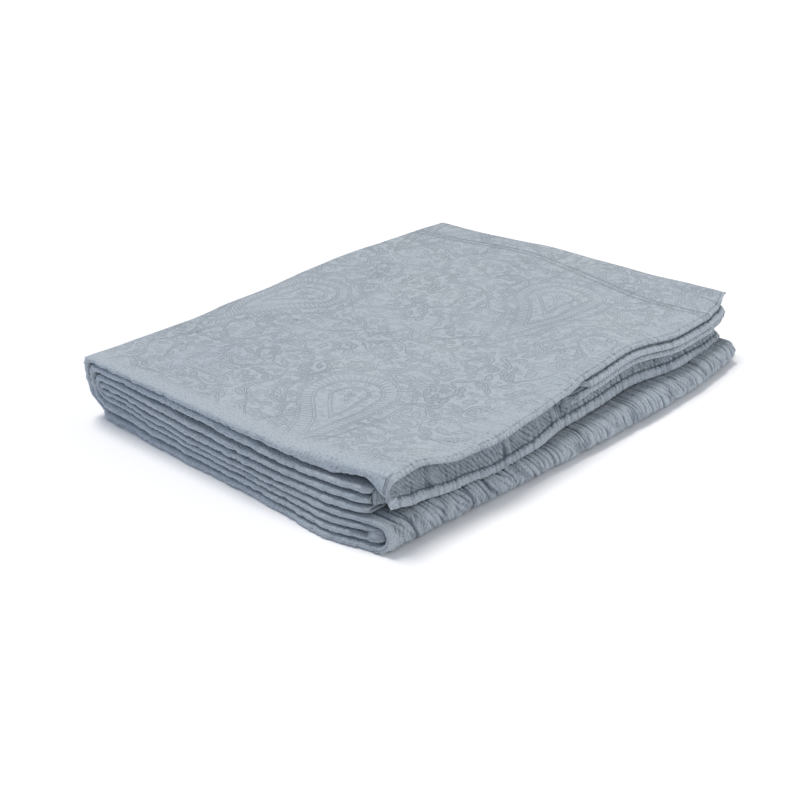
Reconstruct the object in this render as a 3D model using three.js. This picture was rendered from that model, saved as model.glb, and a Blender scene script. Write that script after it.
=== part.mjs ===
// A quilted cotton bedspread, folded into four along each side and lying flat, as it is kept in a cupboard.
// One sheet of cloth makes sixteen plies. It is pleated into a strip four plies thick, with rounded
// crests on the front and back sides, and the strip is then folded in half twice: over the left end,
// round the roll at the bottom of the right end, and back inside itself.
// Millimetres. X runs along the front crests, Y from the front to the back hem, Z up, and the origin is
// the middle of the base.
import * as THREE from "three";

// Driving dimensions
const CLOTH_THICKNESS = 2.4;
const STACK_HEIGHT = 82;
const BANDS = 8; // pairs of plies, counted from the top
const LAST_PLY = 2 * BANDS - 1;
const LEFT_TURN_X = 62; // where the plies start to bend round the left end
const LEFT_PITCH = 4.4; // between nested plies in the left end
const LEFT_ROUNDING = 14;
const LEFT_SLANT = 20; // how far the left end comes in at its foot
const RIGHT_STRAIGHT_X = 430; // where the plies start to bend towards the right end
const DIP_X = 454; // where the lip ply starts to fall, clear of the tucked ends
const TUCKED_END_X = 452; // right ends of the inner plies, which stay back under the others
const ROLL_PITCH = 5;
const ROLL_HOLLOW = 33; // from the roll's skin back to its innermost ply
const BACK_Y = 652; // back crests
const BACK_HEM_Y = 664; // the free hem of the top ply
const INNER_HEM_Y = 646;
const CREST_LIMIT = 13;
const EDGE_REACH = 120; // how far in from a side its unevenness carries
const SIDE_HEM = 11;
const HEM_DROP = 8; // how far the lower hem bends down
const TIGHT_BAND = 6.9; // the least room for two plies
const HALF = CLOTH_THICKNESS / 2;
const PLY_ROOM = HALF + 0.35;
const CENTRE = new THREE.Vector3(250.4, 320.77, 0);

// Front side: x along it, how far the crests stand out at the top and the base, and the height of the
// seven hollows between the eight bands.
const FRONT = [
  { x: -10, top: 8, base: 10, hollow: [75, 64, 56, 48, 40, 31, 13] },
  { x: 60, top: -1, base: 2, hollow: [75, 64, 54, 45, 37, 29, 12] },
  { x: 130, top: -8, base: -4, hollow: [74, 61, 50, 39, 31, 23.5, 11] },
  { x: 200, top: -10, base: -8, hollow: [73, 58.5, 47, 35, 28, 20.5, 10] },
  { x: 270, top: -12, base: -11, hollow: [71.5, 56, 45, 34, 27, 19, 9.5] },
  { x: 340, top: -9, base: -17, hollow: [69, 54, 44, 33, 26, 18, 9] },
  { x: 410, top: -4, base: -25, hollow: [65, 50.5, 41.5, 31.5, 24.5, 17, 8.5] },
  { x: 475, top: 3, base: -12, hollow: [58, 49, 42, 35, 26.5, 18, 9] },
  { x: 520, top: 6, base: -2, hollow: [58, 49, 42, 35, 26.5, 18, 9] },
];

// Right end: y along it, the top ply's height and reach, the height of the lip where the lower ply's hem
// bends down, the top of the roll, and the roll's reach.
const RIGHT = [
  { y: -30, top: 82, reach: 483, lip: 58, roll: 35, skin: 490 },
  { y: 12, top: 84, reach: 482, lip: 56, roll: 35, skin: 492 },
  { y: 45, top: 84, reach: 480, lip: 48, roll: 34, skin: 494 },
  { y: 110, top: 73, reach: 488, lip: 43, roll: 31, skin: 497 },
  { y: 165, top: 73, reach: 493, lip: 39, roll: 29, skin: 500 },
  { y: 225, top: 76, reach: 491, lip: 39, roll: 27, skin: 504 },
  { y: 290, top: 80, reach: 488, lip: 43, roll: 29, skin: 508 },
  { y: 345, top: 86, reach: 485, lip: 45, roll: 30, skin: 511 },
  { y: 430, top: 87, reach: 480, lip: 45, roll: 30, skin: 514 },
  { y: 530, top: 79, reach: 490, lip: 41, roll: 28, skin: 513 },
  { y: 600, top: 76, reach: 485, lip: 36, roll: 27, skin: 507 },
  { y: 625, top: 78, reach: 481, lip: 35, roll: 27, skin: 503 },
  { y: 668, top: 80, reach: 466, lip: 34, roll: 27, skin: 498 },
];

// Left end: y along it and how far the outer ply stands out.
const LEFT = [
  { y: -20, skin: -6 },
  { y: 68, skin: -3 },
  { y: 156, skin: 1 },
  { y: 253, skin: -5 },
  { y: 437, skin: -14 },
  { y: 564, skin: -9 },
  { y: 670, skin: -4 },
];

// Slow rises and hollows of the top away from the sides
const SWELLS = [
  { x: 150, y: 190, spread: 120, height: 2.5 },
  { x: 330, y: 330, spread: 110, height: -2.5 },
  { x: 120, y: 460, spread: 130, height: 4 },
  { x: 300, y: 560, spread: 90, height: -2 },
];

const smooth = (t) => THREE.MathUtils.smoothstep(t, 0, 1);
const lerp = THREE.MathUtils.lerp;

// A value between two rows of a table, eased so that the outline has no corners.
function along(rows, key, at, read) {
  const last = rows.length - 1;
  if (at <= rows[0][key]) return read(rows[0]);
  if (at >= rows[last][key]) return read(rows[last]);
  const i = rows.findIndex((row) => row[key] > at) - 1;
  const t = (at - rows[i][key]) / (rows[i + 1][key] - rows[i][key]);
  return lerp(read(rows[i]), read(rows[i + 1]), smooth(t));
}

const rightEnd = (y, name) => along(RIGHT, "y", y, (row) => row[name]);

// 1 at the right end, and 0 past the reach of its unevenness
const nearRight = (x) => smooth((x - (RIGHT_STRAIGHT_X - EDGE_REACH)) / EDGE_REACH);
const nearFront = (y) => 1 - smooth((y - 10) / EDGE_REACH);

// Behind the middle of the right end the second ply lies up against the top one.
const liftedBack = (y) => smooth((y - 300) / 45);

// The top of band `band`, 0 to 8, at a place in the stack
function bandTop(band, x, y) {
  const even = STACK_HEIGHT * (1 - band / BANDS);
  if (band === BANDS) return 0;
  const front =
    band === 0
      ? STACK_HEIGHT
      : along(FRONT, "x", x, (row) => row.hollow[band - 1]);
  const top = rightEnd(y, "top");
  const roll = rightEnd(y, "roll");
  const lip = Math.max(rightEnd(y, "lip") + 10, roll + 3 * TIGHT_BAND);
  let right = top;
  if (band > 0) right = lerp(lip, roll, (band - 1) / 3);
  if (band > 4) right = roll * (1 - (band - 4) / 4);
  const inFront = lerp(even, front, nearFront(y));
  let height = lerp(inFront, right, nearRight(x));
  if (band === 0)
    for (const swell of SWELLS) {
      const away = Math.hypot(x - swell.x, y - swell.y) / swell.spread;
      height += swell.height * Math.exp(-away * away);
    }
  return height;
}

// The height of the ply that dips to the lip, and whose hem then bends down onto the roll
function lipHeight(x, y, from) {
  const edge = rightEnd(y, "reach");
  const lip = rightEnd(y, "lip") - HALF;
  const fall = smooth((x - DIP_X) / (edge - SIDE_HEM - DIP_X));
  const turned = smooth((x - (edge - SIDE_HEM)) / SIDE_HEM);
  const resting = rightEnd(y, "roll") + HALF + 0.8;
  return Math.max(lerp(from, lip, fall) - HEM_DROP * turned, resting);
}

// The middle height of a ply, 0 at the top to 15 at the base
function plyHeight(ply, x, y) {
  if (ply === LAST_PLY) return HALF;
  const band = Math.floor(ply / 2);
  const upper = bandTop(band, x, y);
  const lower = bandTop(band + 1, x, y);
  const quarter = Math.max((upper - lower) / 4, PLY_ROOM);
  if (ply > 3) return ply % 2 === 0 ? upper - quarter : lower + quarter;
  const end = nearRight(x);
  const room = lerp(quarter, PLY_ROOM, end);
  const lifted = liftedBack(y) * end;
  if (ply === 0) {
    const turned = smooth((x - (rightEnd(y, "reach") - SIDE_HEM)) / SIDE_HEM);
    return upper - room - turned * lerp(1.5, 4.5, liftedBack(y));
  }
  if (ply === 1) {
    const low = lipHeight(x, y, lower + room);
    return lerp(low, upper - PLY_ROOM - 7.5, lifted);
  }
  if (ply === 2) {
    const low = lipHeight(x, y, upper - quarter);
    return lerp(upper - quarter, low, lifted);
  }
  return lower + quarter;
}

// Where a ply ends at the right, for the two layers that end there
function freeEnd(ply, y) {
  const reach = rightEnd(y, "reach");
  if (ply === 0) return reach;
  if (ply === 1) return reach - lerp(1, 5, liftedBack(y));
  if (ply === 2) return lerp(TUCKED_END_X, reach + 1, liftedBack(y));
  return TUCKED_END_X;
}

// The four layers of the strip, top to base, and the ply that each pleat of the strip becomes there
const stackPly = {
  top: (pleat) => pleat,
  second: (pleat) => 7 - pleat,
  third: (pleat) => 8 + pleat,
  base: (pleat) => LAST_PLY - pleat,
};

// A point of a rounded turn between two heights. `turn` runs from 0 to 1, `side` is -1 or 1 along X.
function turnPoint(wall, side, upper, lower, rounding, turn) {
  const half = (upper - lower) / 2;
  const depth = Math.min(half, rounding);
  const angle = Math.PI * turn;
  const power = 2 / (2 + 0.9 * smooth(half / depth - 1));
  const out = Math.pow(Math.sin(angle), power) * depth;
  const rise = Math.sign(Math.cos(angle)) * Math.pow(Math.abs(Math.cos(angle)), power) * half;
  return { x: wall - side * (depth - out), z: (upper + lower) / 2 + rise };
}

// The left end slants in near the base.
function slantLeft(x, z) {
  const near = (LEFT_TURN_X - x) / (LEFT_TURN_X + 8);
  return x + LEFT_SLANT * smooth((36 - z) / 34) * THREE.MathUtils.clamp(near, 0, 1);
}

function leftTurn(pleat, upperLayer, lowerLayer, y, turn) {
  const upperPly = stackPly[upperLayer](pleat);
  const lowerPly = stackPly[lowerLayer](pleat);
  const wall = along(LEFT, "y", y, (row) => row.skin) + HALF + upperPly * LEFT_PITCH;
  const upper = plyHeight(upperPly, LEFT_TURN_X, y);
  const lower = plyHeight(lowerPly, LEFT_TURN_X, y);
  const at = turnPoint(wall, -1, upper, lower, LEFT_ROUNDING, turn);
  return { x: slantLeft(at.x, at.z), z: at.z };
}

function rightRoll(pleat, y, turn) {
  const skin = rightEnd(y, "skin") - HALF;
  const wall = skin - (pleat === 3 ? ROLL_HOLLOW : pleat * ROLL_PITCH);
  const upper = plyHeight(stackPly.third(pleat), RIGHT_STRAIGHT_X, y);
  const lower = plyHeight(stackPly.base(pleat), RIGHT_STRAIGHT_X, y);
  return turnPoint(wall, 1, upper, lower, STACK_HEIGHT, turn);
}

// Stations along the strip, from the top layer's free end to the second layer's
const endShares = [0, 0.07, 0.16, 0.28, 0.42, 0.57]; // from a free end back to where it bends
const across = [RIGHT_STRAIGHT_X, 390, 350, 310, 220, 130, LEFT_TURN_X];
const turnShares = (count) => Array.from({ length: count }, (_, i) => (i + 1) / (count + 1));

function layerPoint(layer, x) {
  return (pleat, y) => ({ x, z: plyHeight(stackPly[layer](pleat), x, y) });
}

function endPoint(layer, share) {
  return (pleat, y) => {
    const ply = stackPly[layer](pleat);
    const x = lerp(freeEnd(ply, y), RIGHT_STRAIGHT_X, share);
    return { x, z: plyHeight(ply, x, y) };
  };
}

const stations = [
  ...endShares.map((share) => endPoint("top", share)),
  ...across.map((x) => layerPoint("top", x)),
  ...turnShares(9).map((turn) => (pleat, y) => leftTurn(pleat, "top", "base", y, turn)),
  ...across.toReversed().map((x) => layerPoint("base", x)),
  ...turnShares(7).map((turn) => (pleat, y) => rightRoll(pleat, y, 1 - turn)),
  ...across.map((x) => layerPoint("third", x)),
  ...turnShares(5).map((turn) => (pleat, y) => leftTurn(pleat, "second", "third", y, 1 - turn)),
  ...across.toReversed().map((x) => layerPoint("second", x)),
  endPoint("second", 0),
];

// How far in from the outline the crest joining two pleats starts at this station, and its reach
function frontCrest(station, pleat) {
  const first = station(pleat, 10);
  const second = station(pleat + 1, 10);
  const gap = Math.hypot(first.x - second.x, first.z - second.z) / 2;
  const reach = Math.min(gap, CREST_LIMIT);
  const x = (first.x + second.x) / 2;
  const rise = (first.z + second.z) / 2 / STACK_HEIGHT;
  const out = along(FRONT, "x", x, (row) => lerp(row.base, row.top, rise));
  return { y: out + HALF + reach, reach, side: -1 };
}

function backCrest(station, pleat) {
  const first = station(pleat, BACK_Y);
  const second = station(pleat + 1, BACK_Y);
  const gap = Math.hypot(first.x - second.x, first.z - second.z) / 2;
  const reach = Math.min(gap, CREST_LIMIT);
  return { y: BACK_Y - HALF - reach, reach, side: 1 };
}

function crestPoint(station, pleat, crest, turn) {
  const first = station(pleat, crest.y);
  const second = station(pleat + 1, crest.y);
  const share = (1 - Math.cos(Math.PI * turn)) / 2;
  const out = Math.sin(Math.PI * turn) * crest.reach * crest.side;
  return new THREE.Vector3(
    lerp(first.x, second.x, share),
    crest.y + out,
    lerp(first.z, second.z, share),
  );
}

// Shares of the way from the front to the back at which a ply has its points
const acrossPly = [0, 0.06, 0.16, 0.28, 0.4, 0.5, 0.6, 0.75, 0.9, 1];
const crestTurns = turnShares(3);

// One section of the strip: four pleats from hem to hem
function sectionAt(station, index) {
  const front = frontCrest(station, 0);
  const lowerFront = frontCrest(station, 2);
  const back = backCrest(station, 1);
  const onTop = index < endShares.length + across.length;
  const hem = onTop ? BACK_HEM_Y : INNER_HEM_Y;
  const run = (pleat, from, to) =>
    acrossPly.map((share) => {
      const y = lerp(from, to, share);
      const { x, z } = station(pleat, y);
      return new THREE.Vector3(x, y, z);
    });
  return [
    ...run(0, front.y, hem).reverse(),
    ...crestTurns.map((turn) => crestPoint(station, 0, front, turn)),
    ...run(1, front.y, back.y),
    ...crestTurns.map((turn) => crestPoint(station, 1, back, turn)),
    ...run(2, lowerFront.y, back.y).reverse(),
    ...crestTurns.map((turn) => crestPoint(station, 2, lowerFront, turn)),
    ...run(3, lowerFront.y, INNER_HEM_Y),
  ];
}

// The sheet's middle surface as rows of points, and the same pushed out to both faces and closed
const middle = stations.map((station, index) => sectionAt(station, index));

function pushedOut(rows, distance) {
  const clampRow = (i) => THREE.MathUtils.clamp(i, 0, rows.length - 1);
  return rows.map((row, i) =>
    row.map((point, j) => {
      const before = Math.max(j - 1, 0);
      const after = Math.min(j + 1, row.length - 1);
      const across = new THREE.Vector3().subVectors(row[after], row[before]);
      const onward = new THREE.Vector3().subVectors(rows[clampRow(i + 1)][j], rows[clampRow(i - 1)][j]);
      const normal = new THREE.Vector3().crossVectors(onward, across).normalize();
      return point.clone().addScaledVector(normal, distance);
    }),
  );
}

function closedSheet(rows) {
  const across = rows[0].length;
  const upper = pushedOut(rows, HALF);
  const lower = pushedOut(rows, -HALF);
  const positions = [...upper, ...lower].flat().flatMap((p) => p.clone().sub(CENTRE).toArray());
  const under = rows.length * across;
  const indices = [];
  const quad = (a, b, c, d) => indices.push(a, b, c, a, c, d);
  for (let i = 0; i < rows.length - 1; i++)
    for (let j = 0; j < across - 1; j++) {
      const a = i * across + j;
      quad(a, a + across, a + across + 1, a + 1);
      quad(under + a, under + a + 1, under + a + across + 1, under + a + across);
    }
  const last = (rows.length - 1) * across;
  for (let j = 0; j < across - 1; j++) {
    quad(j, j + 1, under + j + 1, under + j);
    quad(last + j + 1, last + j, under + last + j, under + last + j + 1);
  }
  for (let i = 0; i < rows.length - 1; i++) {
    const a = i * across;
    const b = a + across - 1;
    quad(a + across, a, under + a, under + a + across);
    quad(b, b + across, under + b + across, under + b);
  }
  const geometry = new THREE.BufferGeometry();
  geometry.setAttribute("position", new THREE.Float32BufferAttribute(positions, 3));
  geometry.setIndex(indices);
  geometry.computeVertexNormals();
  return geometry;
}

const cotton = new THREE.MeshStandardMaterial({ color: 0xa6b1bf, roughness: 0.92, metalness: 0 });
const bedspread = new THREE.Mesh(closedSheet(middle), cotton);
bedspread.name = "bedspread";

const part = new THREE.Group();
part.add(bedspread);

export default part;
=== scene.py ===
"""A quilted cotton bedspread, folded in four each way and lying on a pale floor.

The sheet is made flat, as a grid in its own cloth coordinates, and each point is then carried to its
place in the folded stack. Lengths in the tables are millimetres, as a maker would measure them.
"""
import math
from functools import lru_cache

import bmesh
import bpy
from mathutils import Matrix, Vector, noise


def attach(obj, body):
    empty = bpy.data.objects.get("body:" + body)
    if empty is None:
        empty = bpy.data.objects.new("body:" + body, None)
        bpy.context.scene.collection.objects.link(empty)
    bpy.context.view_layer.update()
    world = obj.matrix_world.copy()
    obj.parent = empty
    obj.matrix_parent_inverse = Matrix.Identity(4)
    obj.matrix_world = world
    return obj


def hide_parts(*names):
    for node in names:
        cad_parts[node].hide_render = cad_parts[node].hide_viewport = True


bl_info = {
    "name": "Folded bedspread",
    "version": (1, 0, 0),
    "blender": (4, 5, 0),
    "location": "View3D > Sidebar > Bedspread",
    "description": "Makes a folded matelasse bedspread with its finish, floor, lights and camera",
    "category": "Add Mesh",
}

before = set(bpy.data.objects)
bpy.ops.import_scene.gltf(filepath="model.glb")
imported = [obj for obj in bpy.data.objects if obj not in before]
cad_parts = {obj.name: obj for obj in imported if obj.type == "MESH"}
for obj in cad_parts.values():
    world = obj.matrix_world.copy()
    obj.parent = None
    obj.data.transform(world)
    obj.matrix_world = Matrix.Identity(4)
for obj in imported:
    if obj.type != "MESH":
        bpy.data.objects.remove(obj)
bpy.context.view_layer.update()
MM = 0.001

# The fold, in millimetres from the stack's front left corner
CLOTH_THICKNESS = 2.4
STACK_HEIGHT = 82
BANDS = 8
LAST_PLY = 2 * BANDS - 1
LEFT_TURN_X = 62
LEFT_PITCH = 4.4
LEFT_ROUNDING = 14
LEFT_SLANT = 20
RIGHT_STRAIGHT_X = 430
WALL_RISE = 8
TUCKED_END_X = 454
CORNER_END_X = 468
INNER_BACK = 17
CORNER_INNER_BACK = 8
CURTAIN = 17
ROLL_PITCH = 5
ROLL_HOLLOW = 33
BACK_Y = 652
BACK_HEM_Y = 664
INNER_HEM_Y = 646
CREST_LIMIT = 13
CREST_POWER = 0.65
EDGE_REACH = 120
SIDE_HEM = 11
HEM_RUN = 4
LIP_DROP = 10
SECOND_BELOW = 8.5
THIRD_BELOW = 18
PLEAT_RUN = 640
FRONT_Y = 10
TIGHT_BAND = 6.9
HALF = CLOTH_THICKNESS / 2
PLY_ROOM = HALF + 0.35
CENTRE = Vector((250.4, 320.77, 0))

# The share of a turn, at each of its ends, that is still straight
TURN_RUN = 0.25

# The front side: how far the crests stand out at the top and the base, and the seven hollows' heights
FRONT = (
    dict(x=-10, top=-5, base=9, hollow=(75, 64, 56, 48, 40, 31, 13)),
    dict(x=60, top=-7, base=2, hollow=(75, 64, 54, 45, 37, 29, 12)),
    dict(x=130, top=-8, base=-4, hollow=(74, 61, 50, 39, 31, 23.5, 11)),
    dict(x=200, top=-10, base=-8, hollow=(73, 58.5, 47, 35, 28, 20.5, 10)),
    dict(x=270, top=-12, base=-11, hollow=(71.5, 56, 45, 34, 27, 19, 9.5)),
    dict(x=340, top=-9, base=-17, hollow=(66, 53, 44, 33, 26, 18, 9)),
    dict(x=410, top=-4, base=-25, hollow=(58.5, 49, 41.5, 33, 25.5, 17, 8.5)),
    dict(x=475, top=3, base=-12, hollow=(53, 47, 42, 36, 27, 18, 9)),
    dict(x=520, top=6, base=-2, hollow=(53, 47, 42, 36, 27, 18, 9)),
)

# The second crest down stands back from the top one, which leaves a dark gap under it
SET_BACK = dict(x=205, spread=95, depth=4)
CORNER = dict(rounding=22, front=-2, tip=2)

# The right end: the top ply's height and reach, the lip, the roll's top and the roll's reach
RIGHT = (
    dict(y=-30, top=82, reach=483, lip=58, roll=35, skin=490),
    dict(y=12, top=84, reach=482, lip=56, roll=35, skin=492),
    dict(y=45, top=84, reach=480, lip=48, roll=34, skin=494),
    dict(y=110, top=73, reach=488, lip=43, roll=31, skin=497),
    dict(y=165, top=73, reach=493, lip=39, roll=29, skin=500),
    dict(y=225, top=76, reach=491, lip=39, roll=27, skin=504),
    dict(y=290, top=80, reach=488, lip=43, roll=29, skin=508),
    dict(y=345, top=86, reach=485, lip=45, roll=30, skin=511),
    dict(y=430, top=87, reach=480, lip=45, roll=30, skin=514),
    dict(y=530, top=79, reach=490, lip=41, roll=28, skin=513),
    dict(y=600, top=76, reach=485, lip=36, roll=27, skin=507),
    dict(y=625, top=78, reach=481, lip=35, roll=27, skin=503),
    dict(y=668, top=83, reach=470, lip=34, roll=27, skin=498),
)

# The left end: how far the outer ply stands out
LEFT = (
    dict(y=-20, skin=-6),
    dict(y=68, skin=-3),
    dict(y=156, skin=1),
    dict(y=253, skin=-5),
    dict(y=437, skin=-14),
    dict(y=564, skin=-9),
    dict(y=670, skin=-4),
)

# Slow rises and hollows of the top
SWELLS = (
    dict(x=150, y=190, spread=120, height=2.5),
    dict(x=330, y=330, spread=110, height=-2.5),
    dict(x=120, y=460, spread=130, height=4),
    dict(x=300, y=560, spread=90, height=-2),
)

# The strip from the top layer's free end to the second layer's: length along the cloth, and base cells
STRIP = (
    dict(name="top_end", length=56, cells=4),
    dict(name="top", length=368, cells=16),
    dict(name="left_wrap", length=196, cells=12),
    dict(name="base", length=368, cells=13),
    dict(name="roll", length=166, cells=12),
    dict(name="third", length=368, cells=13),
    dict(name="left_inner", length=110, cells=8),
    dict(name="second", length=368, cells=13),
    dict(name="second_end", length=22, cells=2),
)

# Across the strip, from hem to hem: four pleats and the three crests that join them
ACROSS = (
    dict(name="pleat_0", length=650, cells=27),
    dict(name="front_0", length=18, cells=3),
    dict(name="pleat_1", length=636, cells=24),
    dict(name="back_1", length=18, cells=2),
    dict(name="pleat_2", length=636, cells=24),
    dict(name="front_2", length=18, cells=3),
    dict(name="pleat_3", length=636, cells=24),
)

# The woven pattern, in millimetres of flat cloth
PAISLEY = dict(column=300, row=380, turn=math.radians(-28), head=74, axis=178, head_offset=52, bend=78)
OUTLINE = dict(step=17, apart=1.9, groove=1.2)
LEAF = dict(spacing=17, half_length=8, half_width=3.6, vein=3.0)
BUD = dict(spacing=8.5, radius=2.1)
STEM = dict(spread=110, half_gap=2)
HATCH = 5.2
THREAD = 2.4
HEM = dict(line=55, apart=9, sway=16, wave=520, stitch=4, depth=1.6)

# What weaving and washing did to the cloth: how far apart each effect is, and how strong
DRIFT = dict(size=70, reach=20)
SWIRL = dict(size=45, reach=9)
NUBS = dict(size=2.0, height=0.16)
CRINKLE = dict(size=6, height=1.35)
PLEATING = dict(length=55, apart=4.6, height=2.8)
DYE = dict(fade=150, faint=60, fleck=2.4)

# The camera: its place in metres, its turns in degrees and its lens in millimetres
VIEW = dict(place=(1.1286, -1.3028, 0.802), yaw=41.87, pitch=25.37, roll=-0.41, lens=68.5)

# Two soft panels: a cool one that faces the front side and a white one that faces the right end
PANELS = (
    dict(name="Cool panel at the front", place=(-0.7, -1.8, 0.45), power=4.5, colour=(0.25, 0.52, 1.0)),
    dict(name="White panel at the right", place=(1.9, 0.4, 0.5), power=13.5, colour=(0.94, 0.97, 1.0)),
)
PANEL_SIZE = 1.2

# The lamp overhead: how wide it looks and how it is turned, in degrees
LAMP = dict(angle=24, turn=(-3, -21, 0), colour=(1.0, 0.98, 0.95))
ROOM_COLOUR = 0.94, 0.965, 1.0, 1.0
FLOOR_SIZE = 30


def clamp(t):
    return min(max(t, 0.0), 1.0)


def smooth(t):
    t = clamp(t)
    return t * t * (3 - 2 * t)


def mix(a, b, t):
    return a + (b - a) * t


def between(rows, key, at):
    """The two rows that `at` lies between, and the eased share from one to the other."""
    if at <= rows[0][key]:
        return rows[0], rows[0], 0.0
    if at >= rows[-1][key]:
        return rows[-1], rows[-1], 0.0
    after = next(i for i, row in enumerate(rows) if row[key] > at)
    low, high = rows[after - 1], rows[after]
    return low, high, smooth((at - low[key]) / (high[key] - low[key]))


def right_end(y, name):
    low, high, share = between(RIGHT, "y", y)
    return mix(low[name], high[name], share)


def near_right(x):
    return smooth((x - (RIGHT_STRAIGHT_X - EDGE_REACH)) / EDGE_REACH)


def near_front(y):
    return 1 - smooth((y - 10) / EDGE_REACH)


def lifted_back(y):
    """Behind the middle of the right end, the second ply lies up against the top one."""
    return smooth((y - 296) / 34)


def lowered(y):
    """Where the fourth ply comes down to the lip, at first hidden behind the second."""
    return smooth((y - 235) / 50)


def drawn_in(y):
    """Where the second ply's hem draws in on its way from the lip to the top."""
    return smooth((y - 284) / 22) * (1 - smooth((y - 318) / 24))


def band_top(band, x, y):
    if band == BANDS:
        return 0.0
    even = STACK_HEIGHT * (1 - band / BANDS)
    front = STACK_HEIGHT
    if band:
        low, high, share = between(FRONT, "x", x)
        front = mix(low["hollow"][band - 1], high["hollow"][band - 1], share)
    right = right_end(y, "top")
    if band:
        roll = right_end(y, "roll")
        lip = max(right_end(y, "lip") + 10, roll + 3 * TIGHT_BAND)
        right = mix(lip, roll, (band - 1) / 3)
        if band > 4:
            right = roll * (1 - (band - 4) / 4)
    height = mix(mix(even, front, near_front(y)), right, near_right(x))
    if band == 0:
        for swell in SWELLS:
            away = math.hypot(x - swell["x"], y - swell["y"]) / swell["spread"]
            height += swell["height"] * math.exp(-away * away)
    return height


def lip_height(x, y, start, dip):
    """The height of a ply that dips to the lip at the right end, from `dip` inside its edge."""
    edge = right_end(y, "reach") - HEM_RUN
    lip = right_end(y, "lip") - HALF
    fall = smooth((x - edge + dip) / dip)
    return max(mix(start, lip, fall), resting_height(y))


def resting_height(y):
    return right_end(y, "roll") + HALF + 0.8


def ply_height(ply, x, y):
    """The middle height of a ply, 0 at the top to 15 at the base."""
    if ply == LAST_PLY:
        return HALF
    band = ply // 2
    upper = band_top(band, x, y)
    lower = band_top(band + 1, x, y)
    quarter = max((upper - lower) / 4, PLY_ROOM)
    if ply > 3:
        return lower + quarter if ply % 2 else upper - quarter
    end = near_right(x)
    room = mix(quarter, PLY_ROOM, end)
    lifted = lifted_back(y) * end
    top = band_top(0, x, y) - PLY_ROOM
    if ply == 0:
        return upper - room
    if ply == 1:
        start = lower + room + WALL_RISE * smooth((x - 400) / 50)
        low = lip_height(x, y, start, 32) + CLOTH_THICKNESS * lowered(y) * end
        return mix(low, top - SECOND_BELOW, lifted)
    if ply == 2:
        return mix(upper - quarter, top - THIRD_BELOW, lifted)
    raised = lifted_back(y) * smooth((x - 400) / 50)
    start = mix(lower + quarter, top - THIRD_BELOW - 6, raised)
    low = lip_height(x, y, start, 20)
    return mix(lower + quarter, low, lowered(y) * end)


def tucked_end(y):
    """Where the plies that stay inside the stack end, further out at the front corner."""
    return mix(CORNER_END_X, TUCKED_END_X, smooth((y - 12) / 50))


def inner_end(y):
    """Where the second layer ends, behind the plies that hang over it."""
    return mix(CORNER_END_X - CORNER_INNER_BACK, TUCKED_END_X - INNER_BACK, smooth((y - 12) / 50))


def free_end(ply, y):
    """Where a ply ends at the right, for the two layers that end there."""
    reach = right_end(y, "reach")
    if ply == 0:
        return reach - 1.5 * lifted_back(y)
    if ply == 1:
        return reach - 1 + 3.5 * lifted_back(y) - 28 * drawn_in(y)
    if ply == 2:
        return mix(tucked_end(y), reach + 1.5, lifted_back(y))
    return mix(tucked_end(y) - 4, reach - 4 + 4 * lifted_back(y), lowered(y))


def hem_drop(ply, y):
    """How far a ply's side hem hangs down below its stitching."""
    back = lifted_back(y)
    if ply == 0:
        return 4.8 * (1 - smooth((y - 625) / 35))
    if ply == 1:
        return mix(LIP_DROP, 7, back)
    if ply == 2:
        return mix(CURTAIN, 6, back)
    return mix(CURTAIN - 5, LIP_DROP, lowered(y))


def turn_point(wall, side, upper, lower, rounding, turn):
    """A point of a rounded turn between two heights."""
    half = (upper - lower) / 2
    depth = min(half, rounding)
    angle = math.pi * turn
    power = 2 / (2 + 0.9 * smooth(half / depth - 1))
    out = max(math.sin(angle), 0.0) ** power * depth
    rise = math.copysign(abs(math.cos(angle)) ** power, math.cos(angle)) * half
    return wall - side * (depth - out), (upper + lower) / 2 + rise


def slant_left(x, z):
    near = (LEFT_TURN_X - x) / (LEFT_TURN_X + 8)
    return x + LEFT_SLANT * smooth((30 - z) / 20) * clamp(near)


def left_turn(upper_ply, lower_ply, y, turn):
    """The way round the left end: straight out to the rounded wall, round it, and straight back."""
    low, high, share = between(LEFT, "y", y)
    wall = mix(low["skin"], high["skin"], share) + HALF + upper_ply * LEFT_PITCH
    upper = ply_height(upper_ply, LEFT_TURN_X, y)
    lower = ply_height(lower_ply, LEFT_TURN_X, y)
    bend = smooth_bend(turn)
    x, z = turn_point(wall, -1, upper, lower, LEFT_ROUNDING, bend)
    x = mix(LEFT_TURN_X, x, straight_out(turn)) if bend in (0.0, 1.0) else x
    return slant_left(x, z), z


def smooth_bend(turn):
    return clamp((turn - TURN_RUN) / (1 - 2 * TURN_RUN))


def straight_out(turn):
    return clamp(min(turn, 1 - turn) / TURN_RUN)


def right_roll(pleat, y, turn):
    skin = right_end(y, "skin") - HALF
    wall = skin - (ROLL_HOLLOW if pleat == 3 else pleat * ROLL_PITCH)
    upper = ply_height(8 + pleat, RIGHT_STRAIGHT_X, y)
    lower = ply_height(LAST_PLY - pleat, RIGHT_STRAIGHT_X, y)
    bend = smooth_bend(turn)
    x, z = turn_point(wall, 1, upper, lower, STACK_HEIGHT, bend)
    x = mix(RIGHT_STRAIGHT_X, x, straight_out(turn)) if bend in (0.0, 1.0) else x
    return x, z


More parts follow.
